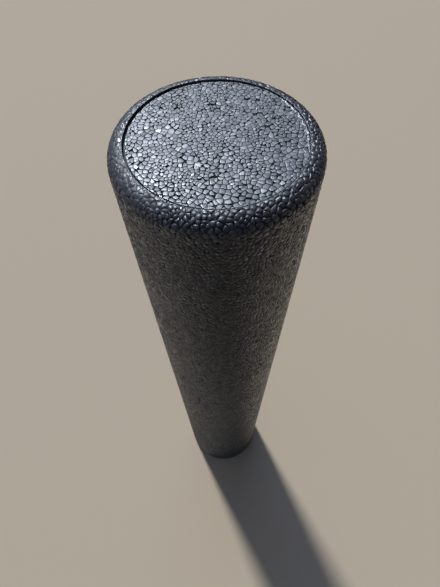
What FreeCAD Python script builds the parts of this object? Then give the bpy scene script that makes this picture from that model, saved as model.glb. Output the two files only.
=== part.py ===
# Round high-density foam roller, 36 x 6 inches, moulded in one shot from expanded polypropylene beads.
# The solid bead-foam core is closed all round by the dense skin that forms where the beads meet the hot mould.
# The mould leaves three kinds of skin: the barrel, a rounded shoulder at each end, and a round end face that the
# mould's end plug forms, set back a little behind the shoulder's flat land so that a witness ring shows.
# The six solids meet face to face and fill the whole roller; nothing moves and nothing is fastened.
#
# Frame: +Z up along the roller's axis, origin at the centre of the lower end, on the plane that it stands on.
# Units: millimetres.

import FreeCAD, Part
import math
import os

# ---- driving dimensions ------------------------------------------------------------------------------------------
LENGTH = 914.4            # 36 in, over the two shoulder lands
DIAMETER = 152.4          # 6 in, over the barrel
SHOULDER_RADIUS = 12.0    # rounding between the barrel and each end
PLUG_RADIUS = 63.5        # radius of the mould's end plug: the witness ring on each end
PLUG_SETBACK = 0.8        # how far each end face lies behind the shoulder's flat land
SKIN_THICKNESS = 1.5      # dense moulded skin round the softer bead core

# ---- derived -----------------------------------------------------------------------------------------------------
R = DIAMETER / 2.0
R_CORE = R - SKIN_THICKNESS
R_LAND = R - SHOULDER_RADIUS              # outer edge of the flat land that the roller stands on
END_DEPTH = PLUG_SETBACK + SKIN_THICKNESS   # where the core begins behind an end face
ARC_MID = SHOULDER_RADIUS * (1.0 - math.sqrt(0.5))


def vec(r, z):
    return FreeCAD.Vector(r, 0.0, z)


def revolve(edges):
    """A solid of revolution about +Z from a closed profile in the XZ half plane."""
    wire = Part.Wire(edges)
    solid = Part.Face(wire).revolve(FreeCAD.Vector(0, 0, 0), FreeCAD.Vector(0, 0, 1), 360.0)
    if solid.Volume < 0:
        solid.reverse()
    return Part.Solid(solid.Shells[0]) if solid.ShapeType != "Solid" else solid


def line(a, b):
    return Part.LineSegment(vec(*a), vec(*b)).toShape()


def arc(a, m, b):
    return Part.Arc(vec(*a), vec(*m), vec(*b)).toShape()


def polygon(points):
    return [line(a, b) for a, b in zip(points, points[1:] + points[:1])]


def at_end(z, top):
    """A height measured inwards from an end, as a height in the frame."""
    return LENGTH - z if top else z


def core():
    """The bead foam inside the skin: a cylinder with a coned edge at each end."""
    return revolve(polygon([
        (0.0, END_DEPTH),
        (PLUG_RADIUS, END_DEPTH),
        (R_CORE, SHOULDER_RADIUS),
        (R_CORE, LENGTH - SHOULDER_RADIUS),
        (PLUG_RADIUS, LENGTH - END_DEPTH),
        (0.0, LENGTH - END_DEPTH),
    ]))


def barrel_skin():
    """The straight part of the skin, a thin tube."""
    return revolve(polygon([
        (R_CORE, SHOULDER_RADIUS),
        (R, SHOULDER_RADIUS),
        (R, LENGTH - SHOULDER_RADIUS),
        (R_CORE, LENGTH - SHOULDER_RADIUS),
    ]))


def shoulder(top):
    """The rounded rim of an end: the flat land beside the witness ring, then the shoulder's arc down to the barrel."""
    p = [
        (PLUG_RADIUS, at_end(END_DEPTH, top)),
        (PLUG_RADIUS, at_end(0.0, top)),
        (R_LAND, at_end(0.0, top)),
        (R, at_end(SHOULDER_RADIUS, top)),
        (R_CORE, at_end(SHOULDER_RADIUS, top)),
    ]
    mid = (R - ARC_MID, at_end(ARC_MID, top))
    return revolve([
        line(p[0], p[1]),
        line(p[1], p[2]),
        arc(p[2], mid, p[3]),
        line(p[3], p[4]),
        line(p[4], p[0]),
    ])


def end_face(top):
    """The round face inside the witness ring, formed by the mould's end plug."""
    z0, z1 = at_end(PLUG_SETBACK, top), at_end(END_DEPTH, top)
    return Part.makeCylinder(PLUG_RADIUS, abs(z1 - z0), FreeCAD.Vector(0, 0, min(z0, z1)))


NODES = {
    "foam_core": core(),
    "barrel_skin": barrel_skin(),
    "top_shoulder": shoulder(True),
    "bottom_shoulder": shoulder(False),
    "top_end_face": end_face(True),
    "bottom_end_face": end_face(False),
}

os.makedirs("parts", exist_ok=True)
total = 0.0
for name, shape in NODES.items():
    if not shape.isValid() or len(shape.Solids) != 1 or shape.Volume <= 0:
        raise SystemExit("%s is not one valid closed solid" % name)
    shape.exportStep(os.path.join("parts", name + ".step"))
    box = shape.BoundBox
    total += shape.Volume
    print("%-16s volume %9.1f cm3  z %7.1f..%7.1f  r %5.1f" % (name, shape.Volume / 1000.0, box.ZMin, box.ZMax, box.XMax))
print("whole roller %.3f litres" % (total / 1e6))
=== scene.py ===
"""A long round foam roller moulded from black plastic beads, standing on end on a pale studio floor.

The whole skin is bead by bead geometry. About 42,000 bead centres are scattered over the roller and evened out, their cells
are found on the conformal map of the surface, and each cell becomes a domed, slightly tilted bead with a groove round it
and, here and there, an open pit where three beads meet. The beads are flat and tight on the barrel, and rounder and more
open on the two ends. A witness ring cuts through them where the mould's end plug met the body.

The roller is filled: it is cut into slices along the grooves between beads, so that each piece stays light, and the slices
meet face to face on the axis like the foam that they stand for.
"""

import math

import bpy
import numpy as np
from mathutils import Matrix, Vector
from mathutils.geometry import delaunay_2d_cdt


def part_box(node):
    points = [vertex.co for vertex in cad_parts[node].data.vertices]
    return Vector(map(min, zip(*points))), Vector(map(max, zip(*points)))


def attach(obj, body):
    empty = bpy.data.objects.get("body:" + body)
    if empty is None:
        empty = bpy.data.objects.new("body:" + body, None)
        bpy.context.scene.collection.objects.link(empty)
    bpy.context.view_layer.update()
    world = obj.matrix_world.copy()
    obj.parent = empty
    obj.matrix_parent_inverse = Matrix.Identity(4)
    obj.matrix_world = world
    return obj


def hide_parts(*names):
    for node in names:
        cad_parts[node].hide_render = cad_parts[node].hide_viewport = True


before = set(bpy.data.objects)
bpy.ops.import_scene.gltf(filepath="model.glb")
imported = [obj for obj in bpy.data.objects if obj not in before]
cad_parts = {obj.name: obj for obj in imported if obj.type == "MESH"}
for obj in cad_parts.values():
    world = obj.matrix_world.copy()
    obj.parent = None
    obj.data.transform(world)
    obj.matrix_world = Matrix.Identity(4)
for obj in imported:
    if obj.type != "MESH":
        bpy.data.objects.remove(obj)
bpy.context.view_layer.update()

MM = 0.001
TAU = 2.0 * math.pi
rng = np.random.default_rng(36061)

# ---- the roller's sizes, in millimetres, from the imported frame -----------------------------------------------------
_barrel, _rim, _face, _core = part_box("barrel_skin"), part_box("top_shoulder"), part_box("top_end_face"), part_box("foam_core")
R = round(_barrel[1].x / MM, 2)
L = round(_rim[1].z / MM, 2)
SHOULDER = round(L - _barrel[1].z / MM, 2)
RING = round(_face[1].x / MM, 2)
SETBACK = round(L - _face[1].z / MM, 2)
CUT = round(L - _core[1].z / MM, 2) + 0.6  # how deep the end face's disc reaches into the foam

# ---- the beads -------------------------------------------------------------------------------------------------------
FINEST = 3.25  # the smallest spacing between bead centres
RELAX = 2
SLICES = 7
BACK_LEFT = math.radians(118.0)  # the plug sat deepest on this side
PRESSED = math.radians(138.0)  # the mould pressed the rim smoothest on this side
FRONT = math.radians(-82.0)  # the bigger, rounder, looser beads are on this side

# the upper witness gap, in millimetres, against the angle in degrees: how far the end face's edge is drawn in from the
# plug's radius, and how far the land's edge is rounded off outside it. The beads nearly met across it at the front.
GAP_AT = (-180, -165, -155, -140, -125, -110, -90, -60, -35, -18, -5, 10, 40, 60, 90, 120, 150, 180)
GAP = (1.55, 1.40, 1.25, 1.05, 0.90, 0.80, 0.65, 0.45, 0.32, 0.30, 0.35, 0.42, 0.50, 0.62, 0.95, 1.15, 1.15, 1.55)
LAND_AT = (-180, -150, -120, -90, -60, -30, 0, 30, 60, 90, 120, 150, 180)
LAND = (0.45, 0.10, 0.00, 0.00, 0.00, 0.00, 0.05, 0.15, 0.40, 0.55, 0.60, 0.58, 0.45)
LOWER_GAP = 0.4


def wrap(a):
    return (a + math.pi) % TAU - math.pi


# ---- the skin's profile, from the upper witness ring over the barrel to the lower one ------------------------------
def profile():
    inner = R - SHOULDER
    a = np.linspace(0.0, math.pi / 2, 300)
    land = np.linspace(RING, inner, 24)[:-1]
    r = np.concatenate([land, inner + SHOULDER * np.sin(a), inner + SHOULDER * np.cos(a), land[::-1]])
    z = np.concatenate([np.full(23, L), L - SHOULDER + SHOULDER * np.cos(a), SHOULDER - SHOULDER * np.sin(a), np.zeros(23)])
    nr = np.concatenate([np.zeros(23), np.sin(a), np.cos(a), np.zeros(23)])
    nz = np.concatenate([np.ones(23), np.cos(a), -np.sin(a), -np.ones(23)])
    ds = np.hypot(np.diff(r), np.diff(z))
    s = np.concatenate([[0.0], np.cumsum(ds)])
    v = np.concatenate([[0.0], np.cumsum(ds * 0.5 * (1 / r[1:] + 1 / r[:-1]))])
    return r, z, nr, nz, s, v


PR, PZ, PNR, PNZ, PS, PV = profile()
V = PV[-1]  # the strip's height: it is a conformal map of the skin, with the angle across and v down


def on_skin(uv, h):
    """Points of the strip, at heights h over the skin, in millimetres."""
    v = np.clip(uv[:, 1], 0.0, V)
    r, z, nr, nz = (np.interp(v, PV, t) for t in (PR, PZ, PNR, PNZ))
    n = np.hypot(nr, nz)
    r, z = r + h * nr / n, z + h * nz / n
    near = np.clip(1.0 - np.interp(v, PV, PS) / 3.0, 0.0, 1.0)  # 1 at the upper ring, 0 from 3 mm outside it
    r = r + near * np.interp(np.degrees(wrap(uv[:, 0])), LAND_AT, LAND)
    return np.stack([r * np.cos(uv[:, 0]), r * np.sin(uv[:, 0]), z], 1)


def reach(v):
    """How far v lies from the nearer witness ring, along the skin, in millimetres."""
    s = np.interp(v, PV, PS)
    return np.minimum(s, PS[-1] - s)


# ---- cells ------------------------------------------------------------------------------------------------------------
def triangles(points):
    out = delaunay_2d_cdt([Vector(p) for p in points.tolist()], [], [], 0, 1e-9)
    first = np.array([o[0] for o in out[3]])
    tri = first[np.array(out[2])]
    a, b, c = points[tri[:, 0]], points[tri[:, 1]], points[tri[:, 2]]
    area = (b[:, 0] - a[:, 0]) * (c[:, 1] - a[:, 1]) - (b[:, 1] - a[:, 1]) * (c[:, 0] - a[:, 0])
    return tri[np.abs(area) > 1e-14]


def circumcentres(a, b, c):
    d = 2 * (a[:, 0] * (b[:, 1] - c[:, 1]) + b[:, 0] * (c[:, 1] - a[:, 1]) + c[:, 0] * (a[:, 1] - b[:, 1]))
    a2, b2, c2 = (a * a).sum(1), (b * b).sum(1), (c * c).sum(1)
    x = (a2 * (b[:, 1] - c[:, 1]) + b2 * (c[:, 1] - a[:, 1]) + c2 * (a[:, 1] - b[:, 1])) / d
    y = (a2 * (c[:, 0] - b[:, 0]) + b2 * (a[:, 0] - c[:, 0]) + c2 * (b[:, 0] - a[:, 0])) / d
    return np.stack([x, y], 1)


def voronoi(points, owner, n):
    """The cells of the first n points: (ptr, vid, rel, where), with each corner's place relative to its own point."""
    tri = triangles(points)
    mid = (points[tri[:, 0]] + points[tri[:, 1]] + points[tri[:, 2]]) / 3
    cc = circumcentres(points[tri[:, 0]] - mid, points[tri[:, 1]] - mid, points[tri[:, 2]] - mid) + mid
    seed, t = tri.ravel(), np.repeat(np.arange(len(tri)), 3)
    keep = seed < n
    seed, t = seed[keep], t[keep]
    rel = cc[t] - points[seed]
    order = np.lexsort((np.arctan2(rel[:, 1], rel[:, 0]), seed))
    seed, t, rel = seed[order], t[order], rel[order]
    ptr = np.concatenate([[0], np.cumsum(np.bincount(seed, minlength=n))])
    own = np.sort(owner[tri], axis=1).astype(np.int64)
    key = (own[:, 0] * (owner.max() + 1) + own[:, 1]) * (owner.max() + 1) + own[:, 2]
    used, first, inverse = np.unique(key[t], return_index=True, return_inverse=True)
    return ptr, inverse, rel, cc[t][first]


def next_corner(ptr):
    n = np.arange(ptr[-1]) + 1
    last = ptr[1:][np.diff(ptr) > 0] - 1
    n[last] = ptr[:-1][np.diff(ptr) > 0]
    return n


def centroids(ptr, rel):
    p, q = rel, rel[next_corner(ptr)]
    cross = p[:, 0] * q[:, 1] - p[:, 1] * q[:, 0]
    area = np.add.reduceat(cross, ptr[:-1]) / 2
    c = np.stack([np.add.reduceat((p[:, k] + q[:, k]) * cross, ptr[:-1]) for k in (0, 1)], 1)
    return c / (6 * np.where(np.abs(area) < 1e-15, 1e-15, area))[:, None], area


def with_ghosts(th, v, pad=0.3):
    low, high = np.where(th < pad)[0], np.where(th > TAU - pad)[0]
    n = len(th)
    points = np.concatenate([np.stack([th, v], 1), np.stack([th[low] + TAU, v[low]], 1), np.stack([th[high] - TAU, v[high]], 1)])
    return points, np.concatenate([np.arange(n), low, high])


def to_plane(th, v, lower):
    rho = RING * np.exp((V - v) if lower else v)
    return np.stack([rho * np.cos(th), rho * np.sin(th)], 1)


def spacing(th, v):
    """How far apart beads lie, in millimetres: finest in the middle of an end face, biggest round the front of the rim."""
    front = 0.5 + 0.5 * np.cos(th - FRONT)
    out = np.exp(np.minimum(np.minimum(v, V - v), 0.0))  # 0 at an end face's centre, 1 from the ring outwards
    near = np.clip(1.2 - reach(v) / 30.0, 0.0, 1.0)  # 1 on the rim, 0 on the barrel
    on_face = 3.30 + 0.30 * out**2 + 0.50 * front * out**1.5
    on_skin = 3.55 + near * (0.05 + 0.50 * front)
    return np.where((v < 0) | (v > V), on_face, on_skin)


def scatter():
    """Bead centres over the whole roller, as (angle, v): v is under 0 on the upper end face and over V on the lower one."""
    cell = FINEST * FINEST * math.sqrt(3) / 2
    ring_area = np.concatenate([[0.0], np.cumsum(math.pi * (PR[1:] + PR[:-1]) * np.diff(PS))])
    n = int(ring_area[-1] / cell)
    v = np.interp(rng.random(n) * ring_area[-1], ring_area, PV)
    m = int(math.pi * RING * RING / cell)
    face = np.log(np.sqrt(rng.random(2 * m) + 1e-9))
    v = np.concatenate([v, face[:m], V - face[m:]])
    th = rng.random(len(v)) * TAU
    keep = rng.random(len(v)) < (FINEST / spacing(th, v)) ** 2
    return th[keep], v[keep]


def relaxed(th, v):
    for _ in range(RELAX):
        nth, nv = th.copy(), v.copy()
        own = np.where((v > -0.5) & (v < V + 0.5))[0]
        points, owner = with_ghosts(th[own], v[own])
        ptr, _, rel, _ = voronoi(points, owner, len(own))
        c, _ = centroids(ptr, rel)
        ok = (v[own] > -0.3) & (v[own] < V + 0.3)
        nth[own[ok]] = (th[own[ok]] + c[ok, 0]) % TAU
        nv[own[ok]] = v[own[ok]] + c[ok, 1]
        for lower in (False, True):
            depth = (V - v) if lower else v
            own = np.where(depth < 0.2)[0]
            p = to_plane(th[own], v[own], lower)
            ptr, _, rel, _ = voronoi(p, np.arange(len(own)), len(own))
            c, _ = centroids(ptr, rel)
            ok = depth[own] <= -0.3
            q = p[ok] + c[ok]
            nth[own[ok]] = np.arctan2(q[:, 1], q[:, 0]) % TAU
            d = np.log(np.maximum(np.hypot(q[:, 0], q[:, 1]), 1e-6) / RING)
            nv[own[ok]] = V - d if lower else d
        th, v = nth, nv
    return th, v


def merge_short(ptr, vid, where, scale, least, periodic):
    """Joins corners that are closer than least, so that no bead has a needle for a side."""
    nxt = vid[next_corner(ptr)]
    lo, hi = np.minimum(vid, nxt), np.maximum(vid, nxt)
    pair = np.unique(np.stack([lo, hi], 1), axis=0)
    d = where[pair[:, 1]] - where[pair[:, 0]]
    if periodic:
        d[:, 0] = wrap(d[:, 0])
    length = np.hypot(d[:, 0], d[:, 1]) * scale[pair[:, 0]]
    short = np.argsort(length)
    short = short[length[short] < least]
    used, into, count = np.zeros(len(where), bool), np.arange(len(where)), np.ones(len(where), int)
    for k in short.tolist():
        a, b = pair[k]
        if not used[a] and not used[b]:
            used[a] = used[b] = True
            into[b] = a
            count[a] = 2
            where[a] += d[k] / 2
    vid = into[vid]
    return tidy(ptr, vid) + (where, count)


def tidy(ptr, vid):
    """Drops repeated corners, and cells with fewer than three."""
    cell = np.repeat(np.arange(len(ptr) - 1), np.diff(ptr))
    keep = vid != vid[next_corner(ptr)]
    count = np.bincount(cell[keep], minlength=len(ptr) - 1)
    keep &= count[cell] >= 3
    alive = count >= 3
    return np.concatenate([[0], np.cumsum(count[alive])]), vid[keep], alive


def clip(ptr, vid, where, inside, periodic, snap_on):
    """Cuts the cells at the witness ring. inside is each corner's distance from it, in millimetres, under 0 beyond it."""
    inside = np.where(np.abs(inside) < 0.5, 0.0, inside)
    where = snap_on(where, inside == 0.0)
    low = np.minimum.reduceat(inside[vid], ptr[:-1])
    high = np.maximum.reduceat(inside[vid], ptr[:-1])
    polys, kept, made, extra = [], [], {}, []
    for i in np.where((low < 0) & (high > 0))[0].tolist():
        ids, out = vid[ptr[i] : ptr[i + 1]].tolist(), []
        for a, b in zip(ids, ids[1:] + ids[:1], strict=True):
            if inside[a] >= 0:
                out.append(a)
            if inside[a] * inside[b] < 0:
                key = (min(a, b), max(a, b))
                if key not in made:
                    p, q = where[key[0]], where[key[1]]
                    d = q - p
                    if periodic:
                        d[0] = wrap(d[0])
                    t = inside[key[0]] / (inside[key[0]] - inside[key[1]])
                    made[key] = len(where) + len(extra)
                    extra.append(p + t * d)
                out.append(made[key])
        if len(out) >= 3:
            polys.append(out)
            kept.append(i)
    whole = np.where((low >= 0) & (high > 0))[0]
    if extra:
        where = np.concatenate([where, np.array(extra)])
        inside = np.concatenate([inside, np.zeros(len(extra))])
        where = snap_on(where, inside == 0.0)
    size = np.diff(ptr)
    cells = np.concatenate([whole, np.array(kept, int)])
    parts = [vid[ptr[i] : ptr[i] + size[i]] for i in whole.tolist()] + [np.array(p) for p in polys]
    return np.concatenate([[0], np.cumsum([len(p) for p in parts])]), np.concatenate(parts), cells, where, inside


def settle(ptr, vid, where, periodic):
    """Each cell's centre, and its corners relative to that."""
    p = where[vid]
    anchor = p[ptr[:-1]]
    cell = np.repeat(np.arange(len(ptr) - 1), np.diff(ptr))
    rel = p - anchor[cell]
    if periodic:
        rel[:, 0] = wrap(rel[:, 0])
    c, area = centroids(ptr, rel)
    return anchor + c, rel - c[cell], area


# ---- beads from cells ------------------------------------------------------------------------------------------------
def noise(p, size, seed):
    """Smooth noise, about -1 to 1, at points in millimetres: a few sine waves in random directions."""
    g = np.random.default_rng(seed)
    total = np.zeros(len(p))
    for _ in range(9):
        k = g.normal(size=3)
        k *= TAU / (size * g.uniform(0.7, 1.5)) / np.linalg.norm(k)
        total += np.sin(p @ k + g.uniform(0, TAU))
    return total / 3.0


def bead_piece(name, ptr, vid, where, centre, rel, scale, place, axis_points, beads, corners, fine, flip, uv_of):
    """One closed piece of beads. Corners and mid-sides lie in the grooves and are shared; rings and a crown are each bead's own."""
    n = len(ptr) - 1
    cell = np.repeat(np.arange(n), np.diff(ptr))
    uniq, a = np.unique(vid, return_inverse=True)
    base = where[uniq]
    depth, pit, edge = corners["depth"][uniq], corners["pit"][uniq], corners["edge"][uniq]
    nxt = next_corner(ptr)
    if fine:  # a vertex at the middle of each side, a little off the straight line
        lo, hi = np.minimum(a, a[nxt]), np.maximum(a, a[nxt])
        key = lo.astype(np.int64) * len(uniq) + hi
        _, first, mid = np.unique(key, return_index=True, return_inverse=True)
        d = base[hi[first]] - base[lo[first]]
        if flip is not None and corners["periodic"]:
            d[:, 0] = wrap(d[:, 0])
        both = edge[lo[first]] & edge[hi[first]]
        straight = both | (np.bincount(mid) == 1)  # the ring's edge, and sides that meet another piece
        g = np.random.default_rng(len(first))
        bow = np.where(straight, 0.0, g.normal(0, 0.05, len(first)))[:, None] * np.stack([-d[:, 1], d[:, 0]], 1)
        m_where = base[lo[first]] + d / 2 + bow
        m_depth = 0.46 * (depth[lo[first]] + depth[hi[first]]) * g.uniform(0.78, 1.12, len(first))
        m_depth = np.where(straight, 0.5 * (depth[lo[first]] + depth[hi[first]]), m_depth)
        m_rel = rel + 0.5 * (rel[nxt] - rel) + bow[mid]
        oid = np.stack([a, len(uniq) + mid], 1).ravel()
        orel = np.stack([rel, m_rel], 1).reshape(-1, 2)
        optr, ocell = ptr * 2, np.repeat(cell, 2)
        tight = np.stack([1.0 - pit[a], np.ones(len(a))], 1).ravel()
        base = np.concatenate([base, m_where])
        depth = np.concatenate([depth, m_depth])
        edge = np.concatenate([edge, both])
    else:
        oid, orel, optr, ocell, tight = a, rel, ptr, cell, 1.0 - pit[a]
    m, onxt = len(oid), next_corner(optr)
    q = orel * scale[ocell][:, None]  # in millimetres from the bead's centre
    rings = []
    for t in beads["rings"]:
        f = t * (1.0 - (1.0 - tight) * (t**2))
        h = beads["off"][ocell] - beads["crown"][ocell] * t ** beads["power"][ocell] + f * (q * beads["tilt"][ocell]).sum(1)
        h = -0.03 * np.logaddexp(-h / 0.03, -beads["proud"] / 0.03)  # the mould's wall held the beads back
        rings.append((centre[ocell] + f[:, None] * orel, h))
    heights = np.concatenate([-depth] + [h for _, h in rings] + [beads["off"]])
    at = np.concatenate([base] + [p for p, _ in rings] + [centre])
    co = place(at, heights, np.concatenate([edge, np.zeros(len(at) - len(edge), bool)]))
    k = len(base)
    starts = [k + m * j for j in range(len(rings))]
    top = k + m * len(rings)
    me = np.arange(m)
    loops, sizes, owner = [], [], []

    def add(face, own):
        loops.append((face[:, ::-1] if flip else face).ravel())
        sizes.append(np.full(len(face), face.shape[1]))
        owner.append(own)

    add(np.stack([oid, oid[onxt], starts[0] + onxt, starts[0] + me], 1), ocell)
    walls = len(owner[0])
    for s0, s1 in zip(starts, starts[1:], strict=False):
        add(np.stack([s0 + me, s0 + onxt, s1 + onxt, s1 + me], 1), ocell)
    add(np.stack([starts[-1] + me, starts[-1] + onxt, top + ocell], 1), ocell)
    bead_faces = sum(len(s) for s in sizes)

    # the cut faces: each side that only one bead of this piece has runs to the axis, or down the ring's wall first
    u, w = oid, oid[onxt]
    total = int(k)
    have = np.isin(u.astype(np.int64) * total + w, w.astype(np.int64) * total + u)
    u, w = u[~have], w[~have]
    (z_top, z_low) = axis_points
    extra = np.array([[0.0, 0.0, z_top], [0.0, 0.0, z_low]])
    hub_top, hub_low = len(co), len(co) + 1
    co = np.concatenate([co, extra])
    middle = co[: len(co) - 2, 2].min() * 0.5 + co[: len(co) - 2, 2].max() * 0.5
    side_top = (co[u, 2] + co[w, 2]) / 2 > middle if corners["two_sided"] else np.full(len(u), corners["hub_is_top"])
    walled = edge[u] & edge[w]
    wall = np.unique(np.concatenate([u[walled], w[walled]]))
    foot = np.full(total, -1)
    foot[wall] = len(co) + np.arange(len(wall))
    feet = co[wall].copy()
    feet[:, 2] = corners["foot_z"](feet[:, 2])
    co = np.concatenate([co, feet])
    if len(wall):
        add_wall = np.stack([w[walled], u[walled], foot[u[walled]], foot[w[walled]]], 1)
        loops.append((add_wall[:, ::-1] if flip else add_wall).ravel())
        sizes.append(np.full(len(add_wall), 4))
        owner.append(np.full(len(add_wall), -1))
    fu, fw = np.where(walled, foot[u], u), np.where(walled, foot[w], w)
    fan = np.stack([fw, fu, np.where(side_top, hub_top, hub_low)], 1)
    loops.append((fan[:, ::-1] if flip else fan).ravel())
    sizes.append(np.full(len(fan), 3))
    owner.append(np.full(len(fan), -1))

    used = np.zeros(len(co), bool)
    loops, sizes, owner = np.concatenate(loops), np.concatenate(sizes), np.concatenate(owner)
    used[loops] = True
    renumber = np.cumsum(used) - 1

    mesh = bpy.data.meshes.new(name)
    mesh.vertices.add(int(used.sum()))
    mesh.vertices.foreach_set("co", (co[used] * MM).astype(np.float32).ravel())
    mesh.loops.add(len(loops))
    mesh.loops.foreach_set("vertex_index", renumber[loops].astype(np.int32))
    mesh.polygons.add(len(sizes))
    mesh.polygons.foreach_set("loop_start", np.concatenate([[0], np.cumsum(sizes)[:-1]]).astype(np.int32))
    smooth = owner >= 0
    if beads["crisp"]:  # flat-topped beads: the groove walls don't bend the light on the tops
        smooth[:walls] = False
    mesh.polygons.foreach_set("use_smooth", smooth)

    # what the material reads: one tone, gloss and size for each bead, and how deep in a groove a point is, which the
    # material darkens as painted shade and dulls
    for key in ("tone", "gloss", "loose"):
        layer = mesh.attributes.new("bead_" + key, "FLOAT", "FACE")
        layer.data.foreach_set("value", np.where(owner >= 0, beads[key][np.maximum(owner, 0)], 0.5).astype(np.float32))
    groove = np.concatenate(
        [np.ones(k)] + [np.full(m, g) for g in beads["ring_groove"]] + [np.zeros(n), np.ones(2 + len(wall))]
    )
    groove[: len(depth)] = np.clip(0.75 + 0.5 * (depth - beads["groove"]), 0.6, 1.4)
    layer = mesh.attributes.new("groove", "FLOAT", "POINT")
    layer.data.foreach_set("value", groove[used].astype(np.float32))

    # an even, unbroken map for baking: the cut faces, which never show, share one corner of it
    flat = np.concatenate([at, np.zeros((len(co) - len(at), 2))])[loops]
    own = np.repeat(owner, sizes)
    real = own >= 0
    d = flat - centre[np.maximum(own, 0)]
    if corners["periodic"]:
        d[:, 0] = wrap(d[:, 0])
    uv = np.full((len(loops), 2), 0.998)
    uv[real] = uv_of(centre[own[real]], d[real])
    layer = mesh.uv_layers.new(name="OFBake")
    layer.uv.foreach_set("vector", uv.astype(np.float32).ravel())
    mesh.update(calc_edges=True)
    mesh.validate()
    obj = bpy.data.objects.new(name, mesh)
    bpy.context.scene.collection.objects.link(obj)
    return obj, bead_faces


def folded(v_low, v_high, rows):
    """A bake map for a ring-shaped piece: its turn is cut into rows, one over the other."""

    def uv_of(c, d):
        turn = (c[:, 0] % TAU) / TAU * rows
        row = np.minimum(np.floor(turn), rows - 1)
        pad = 0.06 * rows / TAU * 1.0
        x = (turn - row + d[:, 0] / TAU * rows + pad) / (1 + 2 * pad)
        y = (c[:, 1] + d[:, 1] - v_low) / (v_high - v_low)
        return np.stack([0.002 + x * 0.99, (row + 0.02 + 0.94 * y) / rows * 0.99], 1)

    return uv_of


def disc_map(c, d):
    return 0.5 + (c + d) / (2.06 * RING)


def face_depth(xy, lower):
    """How far the end face lies behind the land. The upper one tipped a little as the plug drew back."""
    if lower:
        return np.full(len(xy), SETBACK)
    along = (xy[:, 0] * math.cos(BACK_LEFT) + xy[:, 1] * math.sin(BACK_LEFT)) / RING
    return SETBACK - 0.10 + 0.55 * along


def drawn_in(xy, lower):
    """Draws the outermost beads of an end face in from the land, so that the witness gap opens."""
    r, a = np.hypot(xy[:, 0], xy[:, 1]), np.arctan2(xy[:, 1], xy[:, 0])
    if lower:
        gap = np.full(len(xy), LOWER_GAP)
    else:
        gap = np.interp(np.degrees(a), GAP_AT, GAP)
        torn = np.clip(np.cos(a - math.radians(40.0)), 0.0, 1.0) ** 2  # the gap is ragged at the back right
        gap *= 1.0 + (0.07 + 0.25 * torn) * (np.sin(17 * a + 1.0) + np.sin(31 * a + 2.0) + np.sin(53 * a))
        gap = np.clip(gap, 0.12, 2.3)
    near = np.clip((r - (RING - 9.0)) / 9.0, 0.0, 1.0)
    return xy * (1.0 - gap * near**2 / np.maximum(r, 1.0))[:, None]


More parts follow.
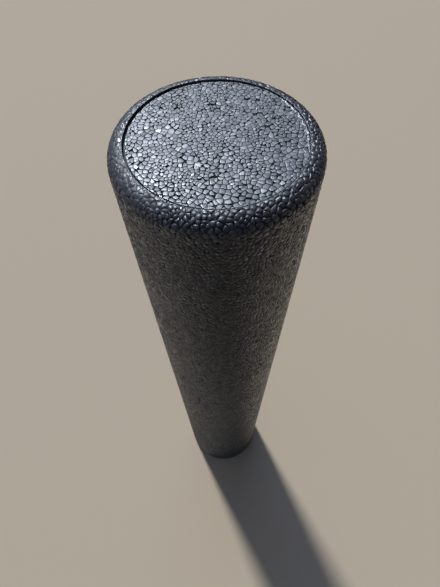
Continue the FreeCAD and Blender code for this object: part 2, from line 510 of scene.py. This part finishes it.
def make_beads():
    th, v = relaxed(*scatter())
    pieces = []

    # the skin between the two witness rings
    own = np.where((v > -0.5) & (v < V + 0.5))[0]
    points, owner = with_ghosts(th[own], v[own])
    ptr, vid, rel, where = voronoi(points, owner, len(own))
    take = np.where((v[own] > -0.09) & (v[own] < V + 0.09))[0]
    vid = np.concatenate([vid[ptr[i] : ptr[i + 1]] for i in take])
    ptr = np.concatenate([[0], np.cumsum((ptr[1:] - ptr[:-1])[take])])
    scale = np.interp(where[:, 1], PV, PR)
    ptr, vid, _, where, count = merge_short(ptr, vid, where, scale, 0.55, True)
    inside = np.minimum(where[:, 1], V - where[:, 1]) * RING

    def snap(w, mask):
        w = w.copy()
        w[mask, 1] = np.where(w[mask, 1] < V / 2, 0.0, V)
        return w

    ptr, vid, _, where, inside = clip(ptr, vid, where, inside, True, snap)
    count = np.concatenate([count, np.ones(len(where) - len(count), int)])
    ptr, vid, _ = tidy(ptr, vid)
    centre, rel, area = settle(ptr, vid, where, True)
    scale = np.interp(centre[:, 1], PV, PR)

    far, c_far = reach(where[:, 1]), reach(centre[:, 1])
    front = 0.5 + 0.5 * np.cos(where[:, 0] - FRONT)
    c_front = 0.5 + 0.5 * np.cos(centre[:, 0] - FRONT)

    def fields(s, f, th_):
        """How loose the beads are, 1 where they are round and open, and how smooth the mould pressed them."""
        press = np.clip(0.5 + 1.1 * np.cos(th_ - PRESSED), 0.0, 1.0) * np.clip(1.0 - (s - 9.0) / 12.0, 0.0, 1.0)
        fade = np.clip(1.0 - (s - (8.0 + 7.0 * f)) / 7.0, 0.0, 1.0) * np.clip(0.35 + s / 9.0, 0.0, 1.0)
        return fade * (0.30 + 0.70 * f) * (1.0 - press), press

    (e, flat), (c_e, c_flat) = fields(far, front, where[:, 0]), fields(c_far, c_front, centre[:, 0])
    nv, nc = len(where), len(centre)
    spot = on_skin(where, np.zeros(nv))
    patch = noise(spot, 60.0, 5) * 0.5 + noise(spot, 18.0, 6) * 0.5
    open_ = rng.random(nv) < (0.20 + 0.16 * e + 0.08 * patch) * (1.0 - 0.7 * flat)
    extra = rng.uniform(0.4, 0.9, nv) + rng.uniform(0.3, 0.7, nv) * e
    corners = {
        "depth": (0.72 + 0.63 * e) * (1.0 - 0.38 * flat) + rng.normal(0, 0.07, nv) * (1 + e - 0.4 * flat) + np.where(open_, extra, 0.0),
        "pit": np.where(open_, rng.uniform(0.22, 0.46, nv), 0.06 + 0.06 * e) + 0.05 * (count > 1),
        "edge": (inside == 0.0),
        "periodic": True,
    }
    corners["depth"] = np.maximum(corners["depth"], 0.06)
    corners["depth"][inside == 0.0] = 0.12 + 0.12 * (1.0 - flat[inside == 0.0])
    spot = on_skin(centre, np.zeros(nc))
    patch = noise(spot, 70.0, 7) * 0.6 + noise(spot, 24.0, 8) * 0.4
    small = np.clip(np.sqrt(np.abs(area)) * scale / 3.6, 0.4, 1.2)
    # the right side of the upper rim is sleek: glossier beads that lie truer to the mould
    sleek = np.clip(0.15 + 1.1 * np.cos(centre[:, 0] - math.radians(25.0)), 0.0, 1.0) * np.clip(1.5 - c_far / 14.0, 0.0, 1.0)
    sleek = sleek * (centre[:, 1] < V / 2)
    crown = np.clip(0.27 + 0.09 * patch + 0.30 * c_e + rng.normal(0, 0.05, nc), 0.05, 0.8)
    beads = {
        "off": rng.normal(0, 0.06, nc) * (1 + 0.8 * c_e) * (1 - 0.4 * c_flat) - 0.16 + 0.08 * c_e,
        "crown": crown * small * (1 - 0.35 * c_flat) * (1 - 0.3 * sleek),
        "tilt": rng.normal(0, 1, (nc, 2)) * ((0.140 - 0.050 * c_e) * (1 - 0.3 * c_flat) * (1 - 0.5 * sleek))[:, None],
        "tone": np.clip(0.5 + 0.30 * rng.normal(size=nc) + 0.10 * patch, 0, 1),
        "gloss": np.clip(0.5 + 0.30 * rng.normal(size=nc) + 0.1 * patch, 0, 1) + 0.20 * sleek,
        "loose": c_e,
        "groove": 0.6,
        "power": 2.8 - 0.4 * c_e,
        "crisp": False,
        "proud": 0.02,
    }

    # slices of the barrel, and the two shoulders
    s = np.interp(centre[:, 1], PV, PS)
    first, last = SHOULDER * math.pi / 2 + (R - SHOULDER - RING) + 2.0, 0
    last = PS[-1] - first
    wander = [np.sin(2 * centre[:, 0] + 0.7), np.sin(5 * centre[:, 0] + 2.1), np.sin(11 * centre[:, 0] + 4.0)]
    step = (s - first) / (last - first) * SLICES
    which = np.clip(np.floor(step + 0.10 * wander[0] + 0.06 * wander[1] + 0.04 * wander[2]).astype(int), 0, SLICES - 1)
    edge = first + 1.6 * (1.0 + 0.6 * wander[1] + 0.4 * wander[2])
    which = np.where(s < edge, -1, np.where(s >= PS[-1] - edge, SLICES, which))
    names = ["top_shoulder_beads"] + [f"barrel_beads_{k + 1}" for k in range(SLICES)] + ["bottom_shoulder_beads"]
    cut_z = [L - CUT] + [float(np.interp(first + (last - first) * k / SLICES, PS, PZ)) for k in range(SLICES + 1)] + [CUT]

    def place(at, h, edge):
        return on_skin(at, h)

    for k, name in enumerate(names):
        mine = np.where(which == k - 1)[0]
        sub_vid = np.concatenate([vid[ptr[i] : ptr[i + 1]] for i in mine])
        sub_rel = np.concatenate([rel[ptr[i] : ptr[i + 1]] for i in mine])
        sub_ptr = np.concatenate([[0], np.cumsum((ptr[1:] - ptr[:-1])[mine])])
        fine = k in (0, len(names) - 1)
        sub = {q: (beads[q][mine] if isinstance(beads[q], np.ndarray) else beads[q]) for q in beads}
        sub["rings"] = (0.83, 0.64, 0.36) if fine else (0.78, 0.55)
        sub["ring_groove"] = (0.30, 0.0, 0.0) if fine else (0.30, 0.0)
        here = dict(corners, two_sided=True, hub_is_top=True)
        here["foot_z"] = (lambda z: np.full(len(z), L - CUT)) if k == 0 else (lambda z: np.full(len(z), CUT))
        lo, hi = where[sub_vid, 1].min(), where[sub_vid, 1].max()
        obj, _ = bead_piece(
            name, sub_ptr, sub_vid, where, centre[mine], sub_rel, scale[mine], place, (cut_z[k], cut_z[k + 1]),
            sub, here, fine, True, folded(lo, hi, 4 if fine else 2),
        )  # fmt: skip
        pieces.append((obj, ("top_shoulder", "foam_core") if k == 0 else ("bottom_shoulder", "foam_core") if k == len(names) - 1 else ("barrel_skin", "foam_core"), "moulded_skin"))

    # the two end faces
    for lower in (False, True):
        depth = (V - v) if lower else v
        own = np.where(depth < 0.28)[0]
        p = to_plane(th[own], v[own], lower)
        order = np.argsort(np.hypot(p[:, 0], p[:, 1]))
        p = p[order]
        n = int((np.hypot(p[:, 0], p[:, 1]) < RING * 1.1).sum())
        ptr, vid, rel, where = voronoi(p, np.arange(len(p)), n)
        ptr, vid, _, where, count = merge_short(ptr, vid, where, np.ones(len(where)), 0.5, False)

        def snap(w, mask):
            w = w.copy()
            w[mask] *= (RING / np.maximum(np.hypot(w[mask, 0], w[mask, 1]), 1e-9))[:, None]
            return w

        ptr, vid, _, where, inside = clip(ptr, vid, where, RING - np.hypot(where[:, 0], where[:, 1]), False, snap)
        count = np.concatenate([count, np.ones(len(where) - len(count), int)])
        ptr, vid, _ = tidy(ptr, vid)
        centre, rel, area = settle(ptr, vid, where, False)
        nv, nc = len(where), len(centre)
        flat3 = np.concatenate([where, np.full((nv, 1), 900.0 if lower else 0.0)], 1)
        patch = noise(flat3, 30.0, 11) * 0.6 + noise(flat3, 11.0, 12) * 0.4

        def loose_face(p):
            """0 over most of the end face, rising to 1 at the front of it."""
            return np.clip(0.15 + 0.95 * (p[:, 0] * math.cos(FRONT) + p[:, 1] * math.sin(FRONT)) / RING, 0.0, 1.0)

        e, c_e = loose_face(where), loose_face(centre)
        open_ = rng.random(nv) < 0.25 + 0.08 * e + 0.10 * patch
        lost = rng.random(nc) < 0.012  # a bead that stayed behind in the mould, or sank
        lost_at = np.unique(vid[np.repeat(lost, np.diff(ptr))])
        corners = {
            "depth": 0.28 + 0.14 * e + rng.normal(0, 0.07, nv) + np.where(open_, rng.uniform(0.6, 1.3, nv), 0.0),
            "pit": np.where(open_, rng.uniform(0.22, 0.48, nv), 0.03) + 0.05 * (count > 1),
            "edge": inside == 0.0,
            "periodic": False,
            "two_sided": False,
            "hub_is_top": True,
        }
        corners["depth"] = np.maximum(corners["depth"], 0.16)
        corners["depth"][lost_at] = np.maximum(corners["depth"][lost_at], 1.0)
        rim_at = where[inside == 0.0]
        gap = np.interp(np.degrees(np.arctan2(rim_at[:, 1], rim_at[:, 0])), GAP_AT, GAP)
        corners["depth"][inside == 0.0] = 0.3 if lower else np.clip(0.45 * gap, 0.12, 0.5)
        flat3 = np.concatenate([centre, np.full((nc, 1), 900.0 if lower else 0.0)], 1)
        patch = noise(flat3, 34.0, 13) * 0.6 + noise(flat3, 12.0, 14) * 0.4
        small = np.clip(np.sqrt(np.abs(area)) / 3.3, 0.3, 1.2)
        beads = {
            "off": rng.normal(0, 0.05, nc) - np.where(lost, 1.1, 0.0),
            "crown": np.clip(0.06 + 0.03 * patch + 0.08 * c_e + rng.normal(0, 0.02, nc), 0.02, 0.5) * small,
            "tilt": rng.normal(0, 1, (nc, 2)) * (0.033 + 0.012 * c_e)[:, None],
            # a sunk bead gets the darkest tone: painted shade in its hole
            "tone": np.clip(0.5 + 0.2 * rng.normal(size=nc) + 0.1 * patch - np.where(lost, 1.0, 0.0), 0, 1),
            "gloss": np.clip(0.5 + 0.22 * rng.normal(size=nc) + 0.12 * patch - np.where(lost, 1.0, 0.0), 0, 1),
            "loose": np.ones(nc),
            "groove": 0.5,
            "power": np.full(nc, 5.0),
            "crisp": True,
            "proud": 5.0,
            "rings": (0.89, 0.76, 0.42),
            "ring_groove": (0.10, 0.0, 0.0),
        }
        bottom = CUT if lower else L - CUT
        corners["foot_z"] = lambda z, b=bottom: np.full(len(z), b)

        def place(at, h, edge, low=lower):
            xy = drawn_in(at, low)
            inner = h - face_depth(xy, low)
            return np.stack([xy[:, 0], xy[:, 1], (-inner if low else L + inner)], 1)

        name = "bottom_end_face_beads" if lower else "top_end_face_beads"
        obj, _ = bead_piece(
            name, ptr, vid, where, centre, rel, np.ones(nc), place, (bottom, bottom),
            beads, corners, True, lower, disc_map,
        )  # fmt: skip
        pieces.append((obj, ("bottom_end_face" if lower else "top_end_face",), "end_face_skin"))
    return pieces


def flash():
    """A curl of foam squeezed up beside the plug on the right of the upper end face: a ragged closed ridge."""
    g = np.random.default_rng(515)
    a = np.radians(np.linspace(-13.0, 41.0, 150))
    u = np.linspace(0.0, 1.0, len(a))
    t = u * 54.0
    swell = np.clip(np.sin(math.pi * u), 0, 1) ** 0.45
    lumps = 0.55 + 0.28 * np.sin(t * 0.95 + 0.4) + 0.24 * np.sin(t * 1.9 + 2.0) + 0.15 * np.sin(t * 3.7) + g.normal(0, 0.05, len(t))
    high = swell * (0.25 + 0.48 * np.clip(lumps, 0.0, 1.2))
    wide = swell * (0.66 + 0.26 * np.sin(t * 0.8 + 1.0) + 0.16 * np.sin(t * 2.6)) + 0.10
    mid = np.interp(np.degrees(a), GAP_AT, GAP)
    mid = RING - mid - 1.25 + 0.35 * np.sin(t * 0.35 + 2.2) + 0.26 * np.sin(t * 0.93) + 0.12 * np.sin(t * 2.2 + 1.0)
    lean = 0.22 + 0.15 * np.sin(t * 0.8)
    section = ((-1.6, -0.9), (-1.3, 0.05), (-0.8, 0.42), (-0.3, 0.76), (0.1, 1.0), (0.45, 0.82), (0.75, 0.2), (0.85, -0.9))
    n, m = len(section), len(a)
    base = -face_depth(np.stack([mid * np.cos(a), mid * np.sin(a)], 1), False)
    co = np.zeros((m, n, 3))
    for k, (x, y) in enumerate(section):
        rough = g.normal(0, 0.03, m)
        r = mid + wide * x + lean * max(y, 0.0) * high + rough
        co[:, k, 0], co[:, k, 1] = r * np.cos(a), r * np.sin(a)
        co[:, k, 2] = L + base + (high * y if y > 0 else y) + rough * (y > 0)
    i, k = np.meshgrid(np.arange(m - 1), np.arange(n), indexing="ij")
    quads = np.stack([i * n + k, (i + 1) * n + k, (i + 1) * n + (k + 1) % n, i * n + (k + 1) % n], -1).reshape(-1, 4)
    faces = quads[:, ::-1].tolist() + [list(range(n))[::-1], list(range((m - 1) * n, m * n))]
    mesh = bpy.data.meshes.new("top_end_flash")
    mesh.from_pydata((co.reshape(-1, 3) * MM).tolist(), [], faces)
    mesh.polygons.foreach_set("use_smooth", np.ones(len(faces), bool))
    for key, domain, count, value in (
        ("bead_tone", "FACE", len(faces), 0.7),
        ("bead_gloss", "FACE", len(faces), 0.8),
        ("bead_loose", "FACE", len(faces), 1.0),
        ("groove", "POINT", m * n, 0.0),
    ):
        mesh.attributes.new(key, "FLOAT", domain).data.foreach_set("value", np.full(count, value, np.float32))
    layer = mesh.uv_layers.new(name="OFBake")
    i, k = i.ravel()[:, None], k.ravel()[:, None]
    x, y = i + np.array([[0, 1, 1, 0]]), k + np.array([[1, 1, 0, 0]])
    uv = np.concatenate([np.stack([0.01 + 0.96 * x / (m - 1), 0.02 + 0.95 * y / n], -1).reshape(-1, 2), np.full((2 * n, 2), 0.99)])
    layer.uv.foreach_set("vector", uv.astype(np.float32).ravel())
    mesh.update(calc_edges=True)
    mesh.validate()
    obj = bpy.data.objects.new("top_end_flash", mesh)
    bpy.context.scene.collection.objects.link(obj)
    return obj, ("top_end_face",), "end_face_skin"


# ---- materials --------------------------------------------------------------------------------------------------------
def node(tree, kind, **values):
    made = tree.nodes.new(kind)
    for key, value in values.items():
        setattr(made, key, value)
    return made


def bead_material(name, colour, warm, spread, rough, bump, level):
    """Black bead foam: each bead has its own tone and gloss, grooves get a painted shade and are duller, and the skin
    has a fine grain.
    """
    mat = bpy.data.materials.new(name)
    mat.use_nodes = True
    t = mat.node_tree
    p = next(n for n in t.nodes if n.type == "BSDF_PRINCIPLED")
    link = t.links.new

    def attribute(key):
        return node(t, "ShaderNodeAttribute", attribute_name=key).outputs["Fac"]

    def ramp(value, low, high, to_low, to_high):
        m = node(t, "ShaderNodeMapRange")
        m.inputs["From Min"].default_value, m.inputs["From Max"].default_value = low, high
        m.inputs["To Min"].default_value, m.inputs["To Max"].default_value = to_low, to_high
        link(value, m.inputs["Value"])
        return m.outputs["Result"]

    def maths(op, a, b):
        m = node(t, "ShaderNodeMath", operation=op)
        for socket, value in zip(m.inputs, (a, b), strict=False):
            if isinstance(value, (int, float)):
                socket.default_value = value
            else:
                link(value, socket)
        return m.outputs[0]

    place = node(t, "ShaderNodeTexCoord").outputs["Object"]
    grain = node(t, "ShaderNodeTexNoise")
    grain.inputs["Scale"].default_value = 900.0
    grain.inputs["Detail"].default_value = 3.0
    grain.inputs["Roughness"].default_value = 0.6
    link(place, grain.inputs["Vector"])
    cloud = node(t, "ShaderNodeTexNoise")
    cloud.inputs["Scale"].default_value = 22.0
    cloud.inputs["Detail"].default_value = 2.0
    link(place, cloud.inputs["Vector"])
    dust = node(t, "ShaderNodeTexNoise")
    dust.inputs["Scale"].default_value = 260.0
    dust.inputs["Detail"].default_value = 4.0
    link(place, dust.inputs["Vector"])

    tone = node(t, "ShaderNodeMix", data_type="RGBA")
    tone.inputs["A"].default_value = (*[c * (1 - spread) for c in colour], 1)
    tone.inputs["B"].default_value = (*[c * (1 + spread) for c in colour], 1)
    link(attribute("bead_tone"), tone.inputs["Factor"])
    tinted = node(t, "ShaderNodeMix", data_type="RGBA")
    tinted.inputs["B"].default_value = (*warm, 1)
    link(ramp(cloud.outputs["Fac"], 0.35, 0.75, 0.0, 0.5), tinted.inputs["Factor"])
    link(tone.outputs["Result"], tinted.inputs["A"])
    # painted shade: the base colour darkens towards black in the grooves and pits, the deeper the darker
    dark = node(t, "ShaderNodeMix", data_type="RGBA", blend_type="MIX")
    dark.inputs["B"].default_value = (0.004, 0.004, 0.0045, 1)
    link(ramp(attribute("groove"), 0.25, 1.0, 0.0, 0.9), dark.inputs["Factor"])
    link(tinted.outputs["Result"], dark.inputs["A"])
    link(dark.outputs["Result"], p.inputs["Base Color"])

    own = ramp(attribute("bead_gloss"), -1.0, 1.0, rough + 0.36, rough - 0.12)
    mottled = maths("ADD", own, ramp(dust.outputs["Fac"], 0.35, 0.7, -0.05, 0.09))
    link(maths("ADD", mottled, ramp(attribute("groove"), 0.3, 1.0, 0.0, 0.35)), p.inputs["Roughness"])
    b = node(t, "ShaderNodeBump")
    b.inputs["Strength"].default_value = bump
    b.inputs["Distance"].default_value = 0.00025
    link(grain.outputs["Fac"], b.inputs["Height"])
    link(b.outputs["Normal"], p.inputs["Normal"])
    p.inputs["IOR"].default_value = 1.52
    p.inputs["Specular IOR Level"].default_value = level
    return mat


def floor_material():
    mat = bpy.data.materials.new("pale_floor")
    mat.use_nodes = True
    t = mat.node_tree
    p = next(n for n in t.nodes if n.type == "BSDF_PRINCIPLED")
    p.inputs["Base Color"].default_value = (0.300, 0.240, 0.172, 1)
    p.inputs["Roughness"].default_value = 0.9
    p.inputs["Specular IOR Level"].default_value = 0.1
    return mat


pieces = make_beads() + [flash()]
# the three copies of the one black foam differ in base colour to paint light: the end faces' copy is lighter and bluer,
# painted light and sky reflection where the end faces are lit, and the rims' copy is darker than the barrel's, painted
# shade
skin = bead_material("bead_skin", (0.019, 0.0185, 0.018), (0.026, 0.0225, 0.019), 1.15, 0.42, 0.55, 0.68)
rims = bead_material("rim_beads", (0.017, 0.0165, 0.020), (0.020, 0.019, 0.021), 0.75, 0.43, 0.50, 0.65)
ends = bead_material("end_beads", (0.021, 0.022, 0.024), (0.024, 0.024, 0.025), 0.50, 0.48, 0.30, 1.0)
for obj, nodes, slot in pieces:
    obj.data.materials.append(ends if slot == "end_face_skin" else rims if "shoulder" in obj.name else skin)
    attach(obj, "root")
    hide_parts(*nodes)

# ---- floor, light and camera -----------------------------------------------------------------------------------------
bpy.ops.mesh.primitive_plane_add(size=14.0, location=(0, 0, 0))
floor = bpy.context.object
floor.name = "floor"
floor.data.materials.append(floor_material())


def aim(obj, at):
    obj.rotation_mode = "QUATERNION"
    obj.rotation_quaternion = (Vector(at) - obj.location).to_track_quat("-Z", "Y")


def area_light(name, azimuth, elevation, distance, size, power, colour, at):
    light = bpy.data.lights.new(name, "AREA")
    light.shape, light.size, light.energy, light.color = "DISK", size, power, colour
    obj = bpy.data.objects.new(name, light)
    bpy.context.scene.collection.objects.link(obj)
    a, e = math.radians(azimuth), math.radians(elevation)
    obj.location = Vector(at) + distance * Vector((math.cos(a) * math.cos(e), math.sin(a) * math.cos(e), math.sin(e)))
    aim(obj, at)
    obj.visible_camera = False
    return obj


top = (0.0, 0.0, L * MM)
sun = bpy.data.lights.new("key", "SUN")
sun.energy, sun.angle, sun.color = 4.6, math.radians(5.0), (0.93, 1.0, 1.06)
key = bpy.data.objects.new("key", sun)
bpy.context.scene.collection.objects.link(key)
key.location = (-0.26 * 8.0, 0.54 * 8.0, 0.80 * 8.0)
aim(key, (0.0, 0.0, 0.0))
area_light("sky_panel", 99.0, 56.0, 6.0, 4.2, 74.0, (0.77, 1.0, 1.66), top)


def backdrop():
    """The studio's pale wall, round the edge of the floor. It is there for the camera only and lights nothing."""
    turn = np.linspace(0.0, TAU, 97)[:-1]
    ring = np.stack([6.95 * np.cos(turn), 6.95 * np.sin(turn), np.zeros(96)], 1)
    mesh = bpy.data.meshes.new("backdrop")
    rise = np.array([0.0, 0.0, 7.0])
    faces = [(k, k + 96, (k + 1) % 96 + 96, (k + 1) % 96) for k in range(96)]
    mesh.from_pydata(np.concatenate([ring - 0.02 * rise, ring + rise]).tolist(), [], faces)
    obj = bpy.data.objects.new("backdrop", mesh)
    bpy.context.scene.collection.objects.link(obj)
    mat = bpy.data.materials.new("backdrop")
    mat.use_nodes = True
    p = next(n for n in mat.node_tree.nodes if n.type == "BSDF_PRINCIPLED")
    p.inputs["Base Color"].default_value = (0.0, 0.0, 0.0, 1)
    p.inputs["Specular IOR Level"].default_value = 0.0
    p.inputs["Emission Color"].default_value = (0.49, 0.45, 0.385, 1)
    p.inputs["Emission Strength"].default_value = 1.0
    mesh.materials.append(mat)
    obj.visible_diffuse = obj.visible_glossy = obj.visible_shadow = obj.visible_transmission = False


backdrop()


def card(name, low, high, colour, glow=0.0):
    """A flat card that only reflections see, and that lights and shades nothing: a painted reflection, dark as painted
    shade or pale as painted light.
    """
    (x0, y0, z0), (x1, y1, z1) = low, high
    if y0 == y1:
        spots = [(x0, y0, z0), (x1, y0, z0), (x1, y0, z1), (x0, y0, z1)]
    else:
        spots = [(x0, y0, z0), (x1, y0, z0), (x1, y1, z0), (x0, y1, z0)]
    mesh = bpy.data.meshes.new(name)
    mesh.from_pydata(spots, [], [(0, 1, 2, 3)])
    obj = bpy.data.objects.new(name, mesh)
    bpy.context.scene.collection.objects.link(obj)
    mat = bpy.data.materials.new(name)
    mat.use_nodes = True
    p = next(n for n in mat.node_tree.nodes if n.type == "BSDF_PRINCIPLED")
    p.inputs["Base Color"].default_value = (*colour, 1)
    p.inputs["Roughness"].default_value = 0.9
    p.inputs["Specular IOR Level"].default_value = 0.0
    p.inputs["Emission Color"].default_value = (*colour, 1)
    p.inputs["Emission Strength"].default_value = glow
    mesh.materials.append(mat)
    obj.visible_camera = obj.visible_diffuse = obj.visible_shadow = obj.visible_transmission = False


# painted shade in the reflections of the barrel's front and of the floor at its foot, a dim glowing painted reflection
# behind, and pale painted reflections of the floor to the right and left
card("front_painted_shade", (-0.17, -0.40, 0.38), (0.26, -0.40, 1.0), (0.006, 0.006, 0.006))
card("foot_painted_shade", (-0.18, -0.34, 0.012), (0.14, -0.09, 0.012), (0.22, 0.205, 0.17))
card("back_painted_reflection", (-1.00, 1.50, 0.0), (2.20, 1.50, 1.25), (0.08, 0.08, 0.09), 1.0)
card("right_painted_reflection", (0.20, -0.25, 0.012), (1.10, 1.20, 0.012), (0.70, 0.56, 0.40))
card("left_painted_reflection", (-1.10, -0.25, 0.012), (-0.24, 1.20, 0.012), (0.52, 0.42, 0.30))

world = bpy.data.worlds.new("studio")
bpy.context.scene.world = world
world.use_nodes = True
wt = world.node_tree
back = next(n for n in wt.nodes if n.type == "BACKGROUND")
back.inputs["Color"].default_value = (0.80, 1.0, 1.45, 1)
# the studio is brighter towards the left and overhead, where the lights stand, and dimmer towards the right
ray = node(wt, "ShaderNodeTexCoord").outputs["Generated"]
towards = node(wt, "ShaderNodeVectorMath", operation="DOT_PRODUCT")
towards.inputs[1].default_value = (0.95 * math.cos(math.radians(190)), 0.95 * math.sin(math.radians(190)), 0.30)
wt.links.new(ray, towards.inputs[0])
level = node(wt, "ShaderNodeMapRange")
for socket, value in (("From Min", -0.5), ("From Max", 0.8), ("To Min", 0.0), ("To Max", 1.0)):
    level.inputs[socket].default_value = value
wt.links.new(towards.outputs["Value"], level.inputs["Value"])
square = node(wt, "ShaderNodeMath", operation="POWER")
square.inputs[1].default_value = 1.8
wt.links.new(level.outputs["Result"], square.inputs[0])
strength = node(wt, "ShaderNodeMath", operation="MULTIPLY_ADD")
strength.inputs[1].default_value, strength.inputs[2].default_value = 0.33, 0.10
wt.links.new(square.outputs[0], strength.inputs[0])
wt.links.new(strength.outputs[0], back.inputs["Strength"])

# the camera stands in front of the roller and looks steeply down at its upper end
cam_data = bpy.data.cameras.new("camera")
cam = bpy.data.objects.new("camera", cam_data)
bpy.context.scene.collection.objects.link(cam)
bpy.context.scene.camera = cam
FOCAL, AWAY, ABOVE, YAW, PITCH, ROLL = 416.4, 230.40, 191.78, -0.060, 60.345, -1.418
yaw, pitch, roll = (math.radians(a) for a in (YAW, PITCH, ROLL))
forward = Vector((math.sin(yaw) * math.cos(pitch), math.cos(yaw) * math.cos(pitch), -math.sin(pitch)))
right = Vector((math.cos(yaw), -math.sin(yaw), 0.0))
up = right.cross(forward)
x_axis = math.cos(roll) * right + math.sin(roll) * up
y_axis = -math.sin(roll) * right + math.cos(roll) * up
cam.matrix_world = Matrix.Translation((0.0, -AWAY * MM, (L + ABOVE) * MM)) @ Matrix((x_axis, y_axis, -forward)).transposed().to_4x4()
cam_data.sensor_width = 36.0
cam_data.lens = FOCAL / 587.0 * 36.0
cam_data.clip_start, cam_data.clip_end = 0.01, 60.0

scene = bpy.context.scene
scene.view_settings.view_transform = "Standard"
scene.view_settings.look = "None"
